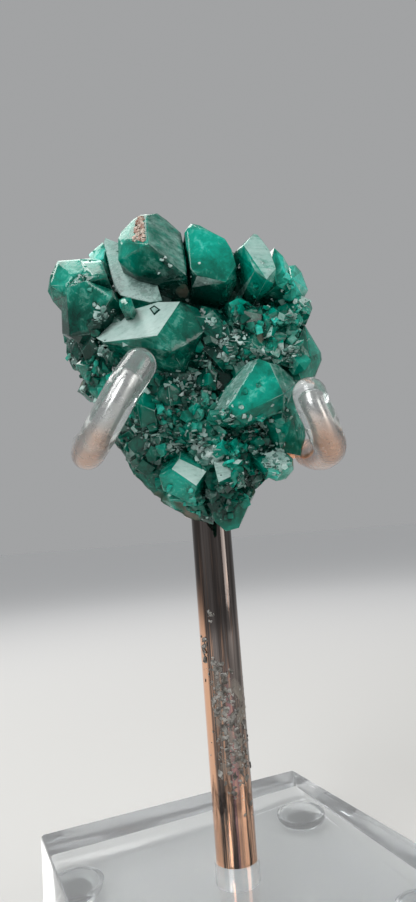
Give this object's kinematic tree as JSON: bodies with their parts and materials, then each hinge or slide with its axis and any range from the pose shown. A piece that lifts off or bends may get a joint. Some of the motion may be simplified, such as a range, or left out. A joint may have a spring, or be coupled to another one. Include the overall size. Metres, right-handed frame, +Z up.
{
  "type": "dioptase crystal specimen on a display stand",
  "caption": "Cluster of green dioptase crystals held by bent wire arms with clear sleeves on a metal post, set in a clear acrylic block on bumper feet.",
  "frame": {"origin": "on the table under the middle of the acrylic block, which is also under the post's axis", "axes": "+Z up along the post; X and Y along the block's sides; the cluster's best face looks towards -Y, turned about 24 degrees towards -X"},
  "size_m": [0.0382, 0.0382, 0.0839],
  "materials": {
    "dioptase": "glassy emerald green crystal faces, some frosted and pale, on a brown-grey matrix",
    "wire": "bright bendable wire",
    "vinyl": "clear soft vinyl, slightly milky",
    "post_metal": "polished round rod",
    "acrylic": "clear polished acrylic",
    "bumper": "clear soft bumper foot"
  },
  "bodies": {
    "root": {"dioptase_cluster": "dioptase", "arm_left": "wire", "arm_right": "wire", "arm_back": "wire", "sleeve_left": "vinyl", "sleeve_right": "vinyl", "sleeve_back": "vinyl", "arm_hub": "post_metal", "post": "post_metal", "acrylic_block": "acrylic", "foot_1": "bumper", "foot_2": "bumper", "foot_3": "bumper", "foot_4": "bumper"}
  },
  "joints": []
}
